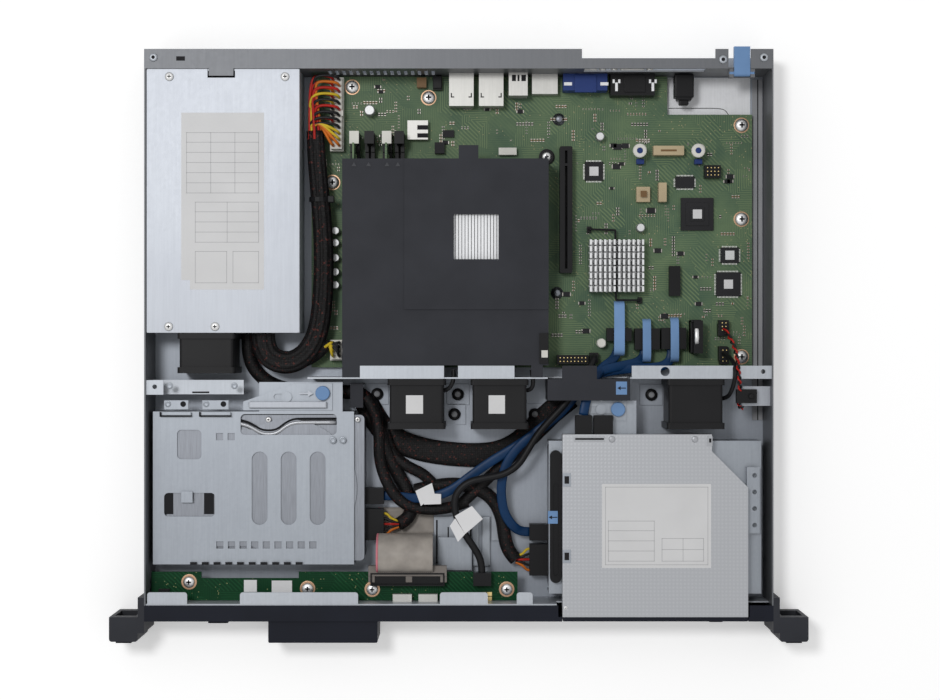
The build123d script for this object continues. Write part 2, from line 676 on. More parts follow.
def fan_rotor(x, front, depth):
    """Hub cup on its shaft, with blades lofted from a steep root to a flatter tip."""
    rear = front + depth
    hub_front = front + FAN_HUB_WALL
    hub_rear = rear - FAN_PLATE - 2 * SLIDE_GAP
    middle = (hub_front + hub_rear) / 2
    tip_r = FAN_BORE_R - FAN_TIP_GAP
    sections = []
    for radius, pitch in ((FAN_HUB_R - FAN_HUB_WALL / 2, FAN_BLADE_PITCH + FAN_BLADE_TWIST),
                          (FAN_BORE_R + FAN_TIP_GAP, FAN_BLADE_PITCH - FAN_BLADE_TWIST)):
        across = (0, sin(radians(pitch)), cos(radians(pitch)))
        plane = Plane((radius, 0, 0), x_dir=across, z_dir=(1, 0, 0))
        sections.append(plane * Rectangle(FAN_BLADE_CHORD, FAN_BLADE_THICK))
    blade = loft(sections, ruled=True)
    blades = [Rot(0, 360 * i / FAN_BLADES, 0) * blade for i in range(FAN_BLADES)]
    trim = Rot(90, 0, 0) * Cylinder(tip_r, hub_rear - hub_front)
    rotor = Rot(90, 0, 0) * Cylinder(FAN_HUB_R, hub_rear - hub_front)
    rotor += [trim & each for each in blades]
    rotor = Pos(x, middle, fan_z) * rotor
    rotor -= rod_y(FAN_HUB_R - FAN_HUB_WALL, hub_front + FAN_HUB_WALL, hub_rear + FAN_PLATE, x, fan_z)
    return rotor + rod_y(PIN_R, hub_front, rear - FAN_PLATE, x, fan_z)


guide_left = shroud_right - GUIDE_WALL / 4
guide_right = guide_left + GUIDE_WIDTH


def fan_wall():
    """Cross wall with the fan holes, a low sill below the cables and flanges along its top edge."""
    top = flange_bottom
    plates = []
    for x0, x1 in ((board_left, guide_left), (guide_right, right_in)):
        wall = rectangle(x0, x1, floor_top, top - SHEET)
        for x in fan_places:
            wall -= Pos(x, fan_z) * Circle(FAN_BORE_R)
        plates.append(extrude(facing_front(wall_rear) * wall, SHEET))
    plates.append(span(guide_left, guide_right, wall_front, wall_rear, floor_top, WALL_CABLE_SILL))
    runs = [(x + low, x + high) for x, (low, high) in zip(fan_places, FLANGE_RUNS)]
    runs.append((guide_right + SHEET, right_in))
    post = Pos(right_in - POST_WIDTH / 2, wall_rear + WALL_FLANGE / 2) * Circle(POST_HOLE_R)
    notch = Pos(guide_right + 2 * POST_WIDTH, wall_rear + WALL_FLANGE / 2) * Circle(2 * POST_HOLE_R)
    for x0, x1 in runs:
        flange = rectangle(x0, x1, wall_front, wall_rear + WALL_FLANGE)
        plates.append(flat_plate(flange - post - notch, top - SHEET, SHEET))
    return plates + lid_bracket()


def lid_bracket():
    """Bracket on the left wall in front of the supply's fan, with a raised tab that takes a lid screw."""
    front = wall_front - BRACKET_DEPTH
    rear = wall_front - SHEET
    right = left_in + BRACKET_WIDTH
    tab_right = left_in + POST_WIDTH
    tab_bottom = flange_bottom - 2 * SHEET
    foot = span(left_in, right, front, front + SHEET, floor_top, BRACKET_TOP - SHEET)
    shelf = span(left_in, right, front, rear, BRACKET_TOP - SHEET, BRACKET_TOP)
    riser = span(left_in, tab_right, front, front + SHEET, BRACKET_TOP, tab_bottom)
    hole = Pos(left_in + POST_WIDTH / 2, front + BRACKET_DEPTH / 2) * Circle(POST_HOLE_R)
    tab = flat_plate(rectangle(left_in, tab_right, front, rear) - hole, tab_bottom, SHEET)
    return [foot, shelf, riser, tab]


# Main board

notch_left = board_right - BOARD_NOTCH_WIDTH
notch_front = board_rear - BOARD_NOTCH_DEPTH
standoff_places = (
    (shroud_left + STANDOFF_LEFT, board_rear - SCREW_MARGIN),
    (shroud_left + STANDOFF_MIDDLE, board_rear - 2 * SCREW_MARGIN),
    (board_left + 2 * SCREW_MARGIN, board_rear - 10 * SCREW_MARGIN),
    (board_right - SCREW_MARGIN, notch_front - SCREW_MARGIN),
    (board_right - SCREW_MARGIN, board_front + 14 * SCREW_MARGIN),
    (board_right - SCREW_MARGIN, board_front + SCREW_MARGIN),
)


def motherboard():
    """Circuit board with the cut-out at its rear right corner and its screw holes."""
    outline = rectangle(board_left, board_right, board_front, board_rear)
    outline -= rectangle(notch_left, board_right, notch_front, board_rear)
    for x, y in standoff_places:
        outline -= Pos(x, y) * Circle(BOARD_HOLE_R)
    return flat_plate(outline, board_bottom, BOARD_THICKNESS)


def board_standoffs():
    """Threaded spacers between floor and board, one under each screw."""
    posts = []
    for x, y in standoff_places:
        post = rod_z(STANDOFF_R, floor_top, board_bottom, x, y)
        posts.append(post - rod_z(BOARD_HOLE_R, floor_top + SHEET, board_bottom + SHEET, x, y))
    return posts


sink_left = shroud_left + SHROUD_SPLIT + SINK_LEFT_GAP
sink_right = shroud_right - SINK_RIGHT_GAP
sink_width = sink_right - sink_left
cpu_x = (sink_left + sink_right) / 2
cpu_y = board_front + CPU_Y
socket_top = board_top + SOCKET_HEIGHT
shroud_bottom = shroud_top - SHROUD_WALL - SHROUD_STEP
sink_top = shroud_bottom - SHEET


def processor_socket():
    """Socket frame with the processor's raised heat spreader."""
    frame = extrude(RectangleRounded(SOCKET_SIZE, SOCKET_SIZE, 2 * SHEET), SOCKET_FRAME_HEIGHT)
    spreader = extrude(RectangleRounded(SPREADER_SIZE, SPREADER_SIZE, SHEET), SOCKET_HEIGHT)
    return Pos(cpu_x, cpu_y, board_top) * (frame + spreader)


def cpu_heatsink():
    """Base plate and fins drawn as one comb and extruded along the air flow."""
    comb = rectangle(sink_left, sink_right, socket_top, sink_top)
    count = int((sink_width - SINK_FIN) / SINK_PITCH)
    gap = SINK_PITCH - SINK_FIN
    first = cpu_x - (count - 1) * SINK_PITCH / 2
    comb -= [rectangle(first + i * SINK_PITCH - gap / 2, first + i * SINK_PITCH + gap / 2,
                       socket_top + SINK_BASE, sink_top + SHEET) for i in range(count)]
    return extrude(facing_front(cpu_y + SINK_LENGTH / 2) * comb, SINK_LENGTH)


shroud_front = wall_rear + WALL_FLANGE + SLIDE_GAP
shroud_rear = shroud_front + SHROUD_LENGTH
shroud_split = shroud_left + SHROUD_SPLIT


def air_shroud():
    """Moulded tunnel: stepped roof, two side walls, a rib beside the memory, legs, lug and sink window."""
    roof = rectangle(shroud_left, shroud_split, shroud_bottom, shroud_top - SHROUD_STEP)
    roof += rectangle(shroud_split, shroud_right, shroud_top - SHROUD_WALL, shroud_top)
    roof += rectangle(shroud_split - SHROUD_WALL, shroud_split, shroud_bottom, shroud_top)
    walls = rectangle(shroud_left, shroud_left + SHROUD_WALL, board_top, shroud_top - SHROUD_STEP)
    walls += rectangle(shroud_right - SHROUD_WALL, shroud_right, board_top, shroud_top)
    rib_bottom = board_top + DIMM_TOWER_HEIGHT + SHEET
    walls += rectangle(shroud_split, shroud_split + SHROUD_WALL, rib_bottom, shroud_top)
    shroud = extrude(facing_front(shroud_rear) * (roof + walls), SHROUD_LENGTH)
    half = SHROUD_WINDOW / 2
    shroud -= span(cpu_x - half, cpu_x + half, cpu_y - half, cpu_y + half, sink_top, chassis_height)
    shroud -= span(shroud_split - SHROUD_WALL, shroud_right, shroud_front, cpu_y - SHROUD_PANEL_FRONT,
                   shroud_top - SHROUD_STEP, chassis_height)
    for x, width in zip((shroud_left, shroud_right - SHROUD_LEG_INSET), SHROUD_LEG_WIDTHS):
        shroud += span(x, x + width, wall_rear, shroud_front, shroud_bottom, shroud_top - SHROUD_STEP)
    tab_left = cpu_x - SHROUD_TAB_LEFT
    shroud += span(tab_left, tab_left + SHROUD_TAB_WIDTH, shroud_rear, shroud_rear + SHROUD_TAB_REACH,
                   shroud_top - SHROUD_WALL, shroud_top)
    lug_y = shroud_rear + SHROUD_LUG_R - SHEET
    lug = rod_z(SHROUD_LUG_R, board_top, board_top + SHROUD_WALL, shroud_right, lug_y)
    lug += span(shroud_right - SHROUD_WALL, shroud_right, shroud_rear - SHEET, lug_y,
                board_top, board_top + DIMM_SOCKET_HEIGHT)
    return shroud + (lug - rod_z(BOARD_HOLE_R, board_top - SHEET, board_top + 2 * SHROUD_WALL,
                                 shroud_right, lug_y))


# Memory

dimm_places = [shroud_left + lane for lane in DIMM_LANES]
dimm_rear = board_rear - DIMM_REAR
dimm_front = dimm_rear - DIMM_LENGTH
tower_rear = dimm_rear + DIMM_TOWER_LENGTH
latch_pivot_y = dimm_rear + SLIDE_GAP + DIMM_LATCH_THICK / 2
latch_pivot_z = board_top + DIMM_PIVOT_HEIGHT


def dimm_socket(x):
    """Long socket with a slit, a solid end tower in front and a forked one behind for the latch."""
    half = DIMM_SOCKET_WIDTH / 2
    tower_top = board_top + DIMM_TOWER_HEIGHT
    side = rectangle(dimm_front - DIMM_TOWER_LENGTH, tower_rear, board_top, board_top + DIMM_SOCKET_HEIGHT)
    side += rectangle(dimm_front - DIMM_TOWER_LENGTH, dimm_front + DIMM_TOWER_LENGTH / 2, board_top, tower_top)
    side += rectangle(dimm_rear - DIMM_TOWER_LENGTH / 2, dimm_rear + DIMM_LATCH_THICK, board_top,
                      latch_pivot_z + DIMM_LATCH_THICK)
    socket = extrude(facing_right(x - half) * side, DIMM_SOCKET_WIDTH)
    socket -= span(x - DIMM_SLIT / 2, x + DIMM_SLIT / 2, dimm_front - SEAT_GAP, dimm_rear,
                   board_top + DIMM_SEAT, tower_top + SHEET)
    fork = DIMM_LATCH_WIDTH / 2 + SLIDE_GAP
    fork_bottom = latch_pivot_z - DIMM_LATCH_THICK / 2 - SLIDE_GAP
    socket -= span(x - fork, x + fork, dimm_rear, tower_rear + SHEET, fork_bottom, tower_top + SHEET)
    return socket - rod_x(PIN_PLAY + PIN_R / 2, x - half, x + half, latch_pivot_y, latch_pivot_z)


def dimm_latch(x):
    """Upright ejector on a cross pin, round at its foot, with a hook and a finger pad at its top."""
    foot = Pos(latch_pivot_y, latch_pivot_z) * Circle(DIMM_LATCH_THICK / 2)
    top = board_top + DIMM_LATCH_HEIGHT
    near = latch_pivot_y - DIMM_LATCH_THICK / 2
    arm = foot + rectangle(near, near + DIMM_LATCH_THICK, latch_pivot_z, top)
    arm += rectangle(near, near + 2 * DIMM_LATCH_THICK, top - DIMM_LATCH_THICK, top)
    latch = extrude(facing_right(x - DIMM_LATCH_WIDTH / 2) * arm, DIMM_LATCH_WIDTH)
    pad = span(x - DIMM_SOCKET_WIDTH / 2, x + DIMM_SOCKET_WIDTH / 2, near, near + 2 * DIMM_LATCH_THICK,
               top - SHEET, top + SHEET)
    reach = DIMM_SOCKET_WIDTH / 2 - SEAT_GAP
    return latch + pad + rod_x(PIN_R / 2, x - reach, x + reach, latch_pivot_y, latch_pivot_z)


def memory_modules():
    """Modules in the filled sockets: a card with a row of chips on one side."""
    modules = []
    bottom = board_top + DIMM_SEAT
    for index in DIMM_FILLED:
        x = dimm_places[index]
        card = span(x - DIMM_BOARD / 2, x + DIMM_BOARD / 2, dimm_front, dimm_rear - SEAT_GAP,
                    bottom, bottom + DIMM_HEIGHT)
        pitch = (DIMM_LENGTH - CHIP_WIDTH) / CHIP_COUNT
        for i in range(CHIP_COUNT):
            y = dimm_front + CHIP_WIDTH / 2 + pitch * (i + 0.5)
            chip = Pos(x + (DIMM_BOARD + CHIP_THICK) / 2, y, bottom + CHIP_LIFT)
            card += chip * Box(CHIP_THICK, CHIP_WIDTH, CHIP_HEIGHT)
        modules.append(card)
    return modules


# Expansion slot, chipset heatsink and board sockets

slot_x = shroud_right + SLOT_X
slot_rear = board_rear - SLOT_REAR


def expansion_slot():
    """Long card slot with its key web and a retaining nub at the front end."""
    body = span(slot_x - SLOT_WIDTH / 2, slot_x + SLOT_WIDTH / 2, slot_rear - SLOT_LENGTH, slot_rear,
                board_top, board_top + SLOT_HEIGHT)
    slit = span(slot_x - SLOT_SLIT / 2, slot_x + SLOT_SLIT / 2, slot_rear - SLOT_LENGTH + SLOT_SEAT,
                slot_rear - SLOT_SEAT, board_top + SLOT_SEAT, board_top + SLOT_HEIGHT + SHEET)
    web = span(slot_x - SLOT_SLIT, slot_x + SLOT_SLIT, slot_rear - SLOT_KEY - SLOT_SLIT, slot_rear - SLOT_KEY,
               board_top, board_top + SLOT_HEIGHT)
    ends = body.edges().filter_by(Axis.Z)
    return fillet(ends, SHEET) - (slit - web)


chipset_x = shroud_right + CHIPSET_X
chipset_y = board_front + CHIPSET_Y


def chipset_heatsink():
    """Cross-cut block of small upright fins on a plate."""
    left = chipset_x - CHIPSET_WIDTH / 2
    front = chipset_y - CHIPSET_LENGTH / 2
    base_top = board_top + 2 * SHEET + CHIPSET_BASE
    plate = span(left, left + CHIPSET_WIDTH, front, front + CHIPSET_LENGTH, board_top + 2 * SHEET, base_top)
    chip = Pos(chipset_x, chipset_y, board_top + SHEET) * Box(CHIPSET_WIDTH / 2, CHIPSET_WIDTH / 2, 2 * SHEET)
    column_pitch = (CHIPSET_WIDTH - CHIPSET_FIN) / (CHIPSET_COLUMNS - 1)
    row_pitch = (CHIPSET_LENGTH + CHIPSET_ROW_GAP) / CHIPSET_ROWS
    fins = []
    for column in range(CHIPSET_COLUMNS):
        for row in range(CHIPSET_ROWS):
            corner = Pos(left + column * column_pitch, front + row * row_pitch, base_top)
            fin = Box(CHIPSET_FIN, row_pitch - CHIPSET_ROW_GAP, CHIPSET_HEIGHT - CHIPSET_BASE, align=Align.MIN)
            fins.append(corner * fin)
    return plate + chip + fins


def power_sockets():
    """Main and processor power plugs, each a stepped block with a locking rib on its side."""
    blocks = []
    main_rear = board_rear - MAIN_SOCKET_REAR
    runs = ((main_rear - MAIN_SOCKET_LENGTH, main_rear),
            (board_front + CPU_SOCKET_FRONT, board_front + CPU_SOCKET_FRONT + CPU_SOCKET_LENGTH))
    x0 = shroud_left + MAIN_SOCKET_X
    for front, rear in runs:
        lower = span(x0, x0 + POWER_SOCKET_WIDTH, front, rear, board_top, board_top + POWER_SOCKET_HEIGHT / 2)
        upper = span(x0 + PLUG_LIP, x0 + POWER_SOCKET_WIDTH - PLUG_LIP, front + PLUG_LIP, rear - PLUG_LIP,
                     board_top + POWER_SOCKET_HEIGHT / 2, board_top + POWER_SOCKET_HEIGHT)
        middle = (front + rear) / 2
        rib = span(x0 + POWER_SOCKET_WIDTH - PLUG_LIP, x0 + POWER_SOCKET_WIDTH, middle - 2 * PLUG_LIP,
                   middle + 2 * PLUG_LIP, board_top + POWER_SOCKET_HEIGHT / 2, board_top + POWER_SOCKET_HEIGHT)
        blocks.append(lower + upper + rib)
    return blocks


def network_socket(x):
    """Metal shell with a square mouth and the narrower step for a plug's clip below it."""
    half = NETWORK_WIDTH / 2
    shell = span(x - half, x + half, rear_out - NETWORK_LENGTH, rear_out, board_top, board_top + NETWORK_HEIGHT)
    low = board_top + NETWORK_MOUTH_LIFT
    mouth = rectangle(x - NETWORK_MOUTH_WIDTH / 2, x + NETWORK_MOUTH_WIDTH / 2, low, low + NETWORK_MOUTH_HEIGHT)
    mouth += rectangle(x - NETWORK_MOUTH_WIDTH / 4, x + NETWORK_MOUTH_WIDTH / 4, low - 2 * SHEET, low)
    return shell - extrude(facing_front(rear_out) * mouth, NETWORK_MOUTH_DEPTH)


def usb_mouth(x, rear, z, direction):
    """The space in a flat socket round its tongue, to cut out of a shell."""
    mouth = Rectangle(USB_MOUTH_WIDTH, USB_MOUTH_HEIGHT)
    mouth -= Pos(0, USB_TONGUE / 2) * Rectangle(USB_MOUTH_WIDTH - 2 * SHEET, USB_TONGUE)
    plane = facing_front(rear) * Pos(x, z)
    return extrude(plane * mouth, USB_MOUTH_DEPTH * direction)


def usb_sockets():
    """Stacked pair of flat sockets and the wider single one beside it."""
    half = USB_WIDTH / 2
    pair = span(usb_x - half, usb_x + half, rear_out - USB_LENGTH, rear_out, board_top, board_top + USB_HEIGHT)
    for level in USB_LEVELS:
        pair -= usb_mouth(usb_x, rear_out, board_top + level, 1)
    half = ESATA_WIDTH / 2
    single = span(esata_x - half, esata_x + half, rear_out - ESATA_LENGTH, rear_out, board_top,
                  board_top + ESATA_HEIGHT)
    return [pair, single - usb_mouth(esata_x, rear_out, board_top + ESATA_HEIGHT / 2, 1)]


def d_sub_socket(x, length):
    """Socket block with a D-shaped shell through the wall and a screw post on each side."""
    half = DSUB_WIDTH / 2
    block = span(x - half, x + half, rear_in - length, rear_in - SEAT_GAP, board_top, board_top + DSUB_HEIGHT)
    shell = Rectangle(DSUB_SHELL_WIDTH, DSUB_SHELL_HEIGHT)
    shell = fillet(shell.vertices(), 2 * SHEET)
    hollow = offset(shell, -DSUB_WALL)
    reach = rear_out + DSUB_SHELL_REACH
    depth = reach - rear_in + SHEET
    plane = facing_front(reach) * Pos(x, dsub_z)
    block += extrude(plane * (shell - hollow), depth)
    for side in (-1, 1):
        post_x = x + side * DSUB_SCREW_SPACING / 2
        block += rod_y(DSUB_SCREW_R, rear_in - SHEET, reach, post_x, dsub_z)
    return block


# Drives

cage_left = left_in + CAGE_WALL_GAP
cage_right = cage_left + CAGE_LENGTH
cage_top = drive_top + SLIDE_GAP + SHEET
hdd_1_front = cage_front + SHEET + DRIVE_SIDE
hdd_1_right = cage_left + HDD_LENGTH
hdd_2_front = front_y + HDD_2_FRONT
shelf_front = hdd_2_front - DRIVE_SIDE - SHEET
shelf_rear = hdd_2_front + HDD_WIDTH + DRIVE_SIDE + SHEET
shelf_right = odd_right + SHELF_OVERHANG


def hard_drive(left, front, turned):
    """Drive casting with rounded corners and a lower cover edge that curves round the disc pack."""
    outline = Rectangle(HDD_LENGTH, HDD_WIDTH)
    outline = fillet(outline.vertices(), HDD_CORNER_R)
    cover = Pos(HDD_SPINDLE_X, 0) * Circle(HDD_DISC_R)
    cover += Pos(HDD_SPINDLE_X - HDD_DISC_R, 0) * Rectangle(*HDD_COVER)
    drive = extrude(outline, HDD_HEIGHT - HDD_STEP) + extrude(cover & outline, HDD_HEIGHT)
    turn = 180 if turned else 0
    middle = Pos(left + HDD_LENGTH / 2, front + HDD_WIDTH / 2, drive_bottom)
    return middle * Rot(0, 0, turn) * drive


def cage_channel(x0, x1, front, rear, top):
    """Two upright walls with feet turned inwards, which carry a drive on its lower edges."""
    channel = []
    for wall_front_y, foot_direction in ((front, 1), (rear - SHEET, -1)):
        wall = span(x0, x1, wall_front_y, wall_front_y + SHEET, floor_top, top)
        y0, y1 = sorted((wall_front_y + SHEET / 2, wall_front_y + SHEET / 2 + foot_direction * CAGE_FOOT))
        channel.append(wall + span(x0, x1, y0, y1, floor_top, floor_top + SHEET))
    return channel


def drive_cage_left():
    """Cage over the left drive: cut-out roof, side walls with feet, and the ledge of the sliding latch."""
    roof = rectangle(cage_left, cage_right, cage_front, cage_rear)
    slots = Pos(cage_right - CAGE_SLOT_PLACE[0], cage_front + CAGE_SLOT_PLACE[1])
    slots = slots * GridLocations(CAGE_SLOT_PITCH, 1, SLOT_COUNT, 1)
    roof -= slots * SlotOverall(CAGE_SLOT_LENGTH, CAGE_SLOT_WIDTH, rotation=90)
    squares = Pos(cage_left + SQUARE_PLACE[0], cage_front + SQUARE_PLACE[1])
    roof -= squares * GridLocations(SQUARE_PITCH, 1, SQUARE_COUNT, 1) * Rectangle(SQUARE, SQUARE)
    pair = Pos(cage_left + PAIR_PLACE[0], cage_rear - PAIR_PLACE[1])
    roof -= pair * GridLocations(SQUARE_PITCH, 1, 2, 1) * Rectangle(SQUARE, SQUARE)
    for x, inset, width, length in (CAGE_HOLE, CAGE_CUT_OUT):
        roof -= Pos(cage_left + x, cage_rear - inset) * RectangleRounded(width, length, CAGE_CORNER_R)
    x, inset, width, length = CAGE_WINDOW
    roof -= Pos(cage_left + x, cage_front + inset) * RectangleRounded(width, length, CAGE_CORNER_R)
    roof += rectangle(cage_left + LEDGE_LEFT, cage_left + LEDGE_LEFT + LEDGE_WIDTH, cage_rear,
                      cage_rear + LEDGE_DEPTH)
    cage = flat_plate(roof, cage_top - SHEET, SHEET)
    cage += cage_channel(cage_left, cage_right, cage_front, cage_rear, cage_top)
    return cage + latch_rivet(cage_left + LEDGE_LEFT + LEDGE_WIDTH / 3, cage_rear + LEDGE_DEPTH / 2, cage_top)


def latch_rivet(x, y, top):
    """Headed rivet that a sliding latch runs on."""
    head = top + SEAT_GAP + LATCH_THICK + SEAT_GAP
    return rod_z(LATCH_RIVET_R, top - SHEET, head, x, y) + rod_z(2 * LATCH_RIVET_R, head, head + SHEET, x, y)


def latch_slot(x, y):
    """Slot in a latch: the rivet stands at its right end at rest, so the latch slides to the right."""
    length = LATCH_SLOT + 2 * LATCH_RIVET_R + 2 * SLIDE_GAP
    middle = x - LATCH_SLOT / 2
    return Pos(middle, y) * SlotOverall(length, 2 * (LATCH_RIVET_R + SLIDE_GAP))


def button_latch(outline, slot, button, top):
    """Sheet latch with its slot and a round finger button on it."""
    bottom = top + SEAT_GAP
    plate = flat_plate(outline - slot, bottom, LATCH_THICK)
    raised = rod_z(LATCH_BUTTON_R, bottom, bottom + LATCH_THICK + LATCH_BUTTON_HEIGHT, *button)
    rim = raised.edges().group_by(Axis.Z)[-1]
    return plate + fillet(rim, LATCH_BUTTON_HEIGHT / 4)


def drive_latch_left():
    """Tapered latch plate behind the left cage."""
    x0 = cage_left + LEDGE_LEFT
    y0 = cage_rear + SHEET
    y1 = cage_rear + LEDGE_DEPTH - SHEET
    x1 = x0 + LEDGE_WIDTH - LATCH_SLOT
    outline = Polyline((x0, y0), (x1, y0), (x1, y1), (x0 + LATCH_TAPER, y1),
                       (x0 - LATCH_REACH, y0 + LATCH_NECK), (x0 - LATCH_REACH, y0), close=True)
    face = make_face(outline)
    rivet = (x0 + LEDGE_WIDTH / 3, cage_rear + LEDGE_DEPTH / 2)
    button = (x1 - LATCH_BUTTON_INSET, y1 - LATCH_BUTTON_INSET)
    return button_latch(face, latch_slot(*rivet), button, cage_top)


lever_left = odd_left - SLIDE_GAP - LEVER_WIDTH
lever_front = shelf_front + LEVER_WIDTH
lever_pivot_y = lever_front + LEVER_WIDTH / 2
lever_x = lever_left + LEVER_WIDTH / 2
ledge_left = odd_left + OPTICAL_LEDGE_LEFT
optical_rivet = (ledge_left + OPTICAL_LEDGE_WIDTH / 3, shelf_rear + OPTICAL_LEDGE_DEPTH - OPTICAL_RIVET_GAP)


def drive_carrier_right():
    """Cage under the optical drive: shelf, walls with feet, latch ledge and the hanger with four holes."""
    shelf = rectangle(hdd_2_left, shelf_right, shelf_front, shelf_rear)
    shelf += rectangle(ledge_left, ledge_left + OPTICAL_LEDGE_WIDTH, shelf_rear,
                       shelf_rear + OPTICAL_LEDGE_DEPTH)
    shelf -= Pos(lever_x, lever_pivot_y) * Circle(PIN_R + PIN_PLAY)
    carrier = flat_plate(shelf, shelf_bottom, SHEET)
    carrier += cage_channel(hdd_2_left, shelf_right, shelf_front, shelf_rear, shelf_top)
    hanger_front = front_y + HANGER_FRONT
    hanger_left = odd_right + SEAT_GAP
    hanger_top = shelf_top + HANGER_HEIGHT
    upright = span(hanger_left, hanger_left + SHEET, hanger_front, hanger_front + HANGER_LENGTH,
                   shelf_bottom, hanger_top)
    top = rectangle(hanger_left, hanger_left + HANGER_WIDTH, hanger_front, hanger_front + HANGER_LENGTH)
    pitch = HANGER_LENGTH / HANGER_HOLES
    holes = Pos(hanger_left + HANGER_HOLE_X, hanger_front + HANGER_LENGTH / 2)
    top -= holes * GridLocations(1, pitch, 1, HANGER_HOLES) * Circle(POST_HOLE_R)
    carrier += upright + flat_plate(top, hanger_top - SHEET, SHEET)
    return carrier + latch_rivet(*optical_rivet, shelf_top)


def optical_drive_latch():
    """Latch plate behind the optical drive."""
    x0 = ledge_left
    x1 = ledge_left + OPTICAL_LEDGE_WIDTH - LATCH_SLOT
    y1 = shelf_rear + OPTICAL_LEDGE_DEPTH
    plugs_right = odd_left + PLUG_HEIGHT + sum(ODD_PLUG_WIDTHS) + ODD_PLUG_GAP
    outline = rectangle(x0, x1, odd_rear + PLUG_LENGTH + SHEET, y1)
    outline += rectangle(plugs_right + SHEET, x1, odd_rear + PLUG_HEIGHT, y1)
    slot = latch_slot(*optical_rivet)
    button = (x1 - LATCH_BUTTON_R - SHEET, y1 - LATCH_BUTTON_R - SHEET)
    return button_latch(outline, slot, button, shelf_top)


def carrier_lever():
    """Black release bar beside the optical drive, on a pin at its front end."""
    bottom = shelf_top + SEAT_GAP
    bar = SlotOverall(LEVER_LENGTH, LEVER_WIDTH, rotation=90)
    bar = Pos(lever_x, lever_front + LEVER_LENGTH / 2) * bar
    lever = flat_plate(bar, bottom, LEVER_HEIGHT)
    groove = SlotOverall(LEVER_GROOVE, LEVER_WIDTH / 2, rotation=90)
    groove = Pos(lever_x, lever_front + LEVER_GROOVE_Y) * groove
    lever -= flat_plate(groove, bottom + LEVER_HEIGHT - SHEET, 2 * SHEET)
    return lever + rod_z(PIN_R, shelf_bottom, bottom + SHEET, lever_x, lever_pivot_y)


odd_bottom = shelf_top
odd_front = front_y + ODD_BEZEL
eject_x = odd_right - EJECT_SIDE
eject_z = odd_top - EJECT_TOP - EJECT_HEIGHT / 2


def odd_outline(inset, front, rear):
    """Plan of the slim drive or its tray, with the stepped and cut rear right corner."""
    x0 = odd_left + inset
    x1 = odd_right - inset
    step = rear - ODD_CORNER_STEP
    cut = x1 - ODD_CHAMFER
    corners = ((x0, front), (x1, front), (x1, step - ODD_CHAMFER), (cut, step), (cut, rear), (x0, rear))
    return make_face(Polyline(*corners, close=True))


def optical_drive_case():
    """Thin steel shell, open at its front for the tray."""
    shell = flat_plate(odd_outline(0, odd_front, odd_rear), odd_bottom, ODD_HEIGHT)
    room = odd_outline(ODD_WALL, odd_front - ODD_WALL, odd_rear - ODD_WALL)
    return shell - flat_plate(room, odd_bottom + ODD_WALL, ODD_HEIGHT - 2 * ODD_WALL)


def optical_drive_tray():
    """Tray with the disc well and its hub hole, fixed to the front bezel that holds the eject button."""
    bottom = odd_bottom + ODD_WALL + SLIDE_GAP
    plan = odd_outline(ODD_WALL + TRAY_SIDE_GAP, odd_front - SHEET, odd_rear - ODD_WALL - TRAY_REAR_GAP)
    tray = flat_plate(plan, bottom, TRAY_THICK)
    well_x = (odd_left + odd_right) / 2
    well_y = odd_front + DISC_R + SHEET
    tray -= rod_z(DISC_R, bottom + TRAY_THICK - DISC_WELL, bottom + 2 * TRAY_THICK, well_x, well_y)
    hub = Cylinder(HUB_R, TRAY_THICK)
    tray -= Pos(well_x, well_y, bottom + TRAY_THICK / 2 + SHEET) * hub
    bezel = span(odd_left, odd_right, front_y, odd_front, odd_bottom + SEAT_GAP, odd_top - SEAT_GAP)
    tray += fillet(bezel.edges().filter_by(Axis.Z).group_by(Axis.Y)[0], SHEET)
    hole = Pos(eject_x, eject_z) * Rectangle(EJECT_WIDTH + 2 * SLIDE_GAP, EJECT_HEIGHT + 2 * SLIDE_GAP)
    return tray - extrude(facing_front(odd_front + SHEET) * hole, ODD_BEZEL + 3 * SHEET)


def eject_button():
    """Small button through the tray's bezel, with a lip behind it that keeps it in."""
    face = Pos(eject_x, eject_z) * Rectangle(EJECT_WIDTH, EJECT_HEIGHT)
    lip = Pos(eject_x, eject_z) * Rectangle(EJECT_WIDTH + 4 * SLIDE_GAP, EJECT_HEIGHT)
    stem = extrude(facing_front(odd_front + SLIDE_GAP + SHEET) * lip, SHEET)
    return stem + extrude(facing_front(odd_front + SLIDE_GAP + SHEET) * face,
                          ODD_BEZEL + SLIDE_GAP + SHEET + EJECT_REACH)


def drive_plugs():
    """Data and power plugs on both hard drives and at the back of the optical drive."""
    plugs = []
    for width, side, side_right in zip(PLUG_WIDTHS, PLUG_SIDE, PLUG_SIDE_RIGHT):
        y = hdd_1_front + HDD_WIDTH - side
        plugs.append(span(hdd_1_right, hdd_1_right + PLUG_LENGTH, y - width / 2, y + width / 2,
                          drive_bottom + PLUG_Z, drive_bottom + PLUG_Z + PLUG_HEIGHT))
        y = hdd_2_front + side_right
        plugs.append(span(hdd_2_left - PLUG_LENGTH, hdd_2_left, y - width / 2, y + width / 2,
                          drive_bottom + PLUG_Z, drive_bottom + PLUG_Z + PLUG_HEIGHT))
    x = odd_left + PLUG_HEIGHT
    for width in ODD_PLUG_WIDTHS:
        plugs.append(span(x, x + width, odd_rear, odd_rear + PLUG_LENGTH, odd_bottom + SHEET,
                          odd_bottom + SHEET + PLUG_HEIGHT))
        x += width + ODD_PLUG_GAP
    return plugs


# Front

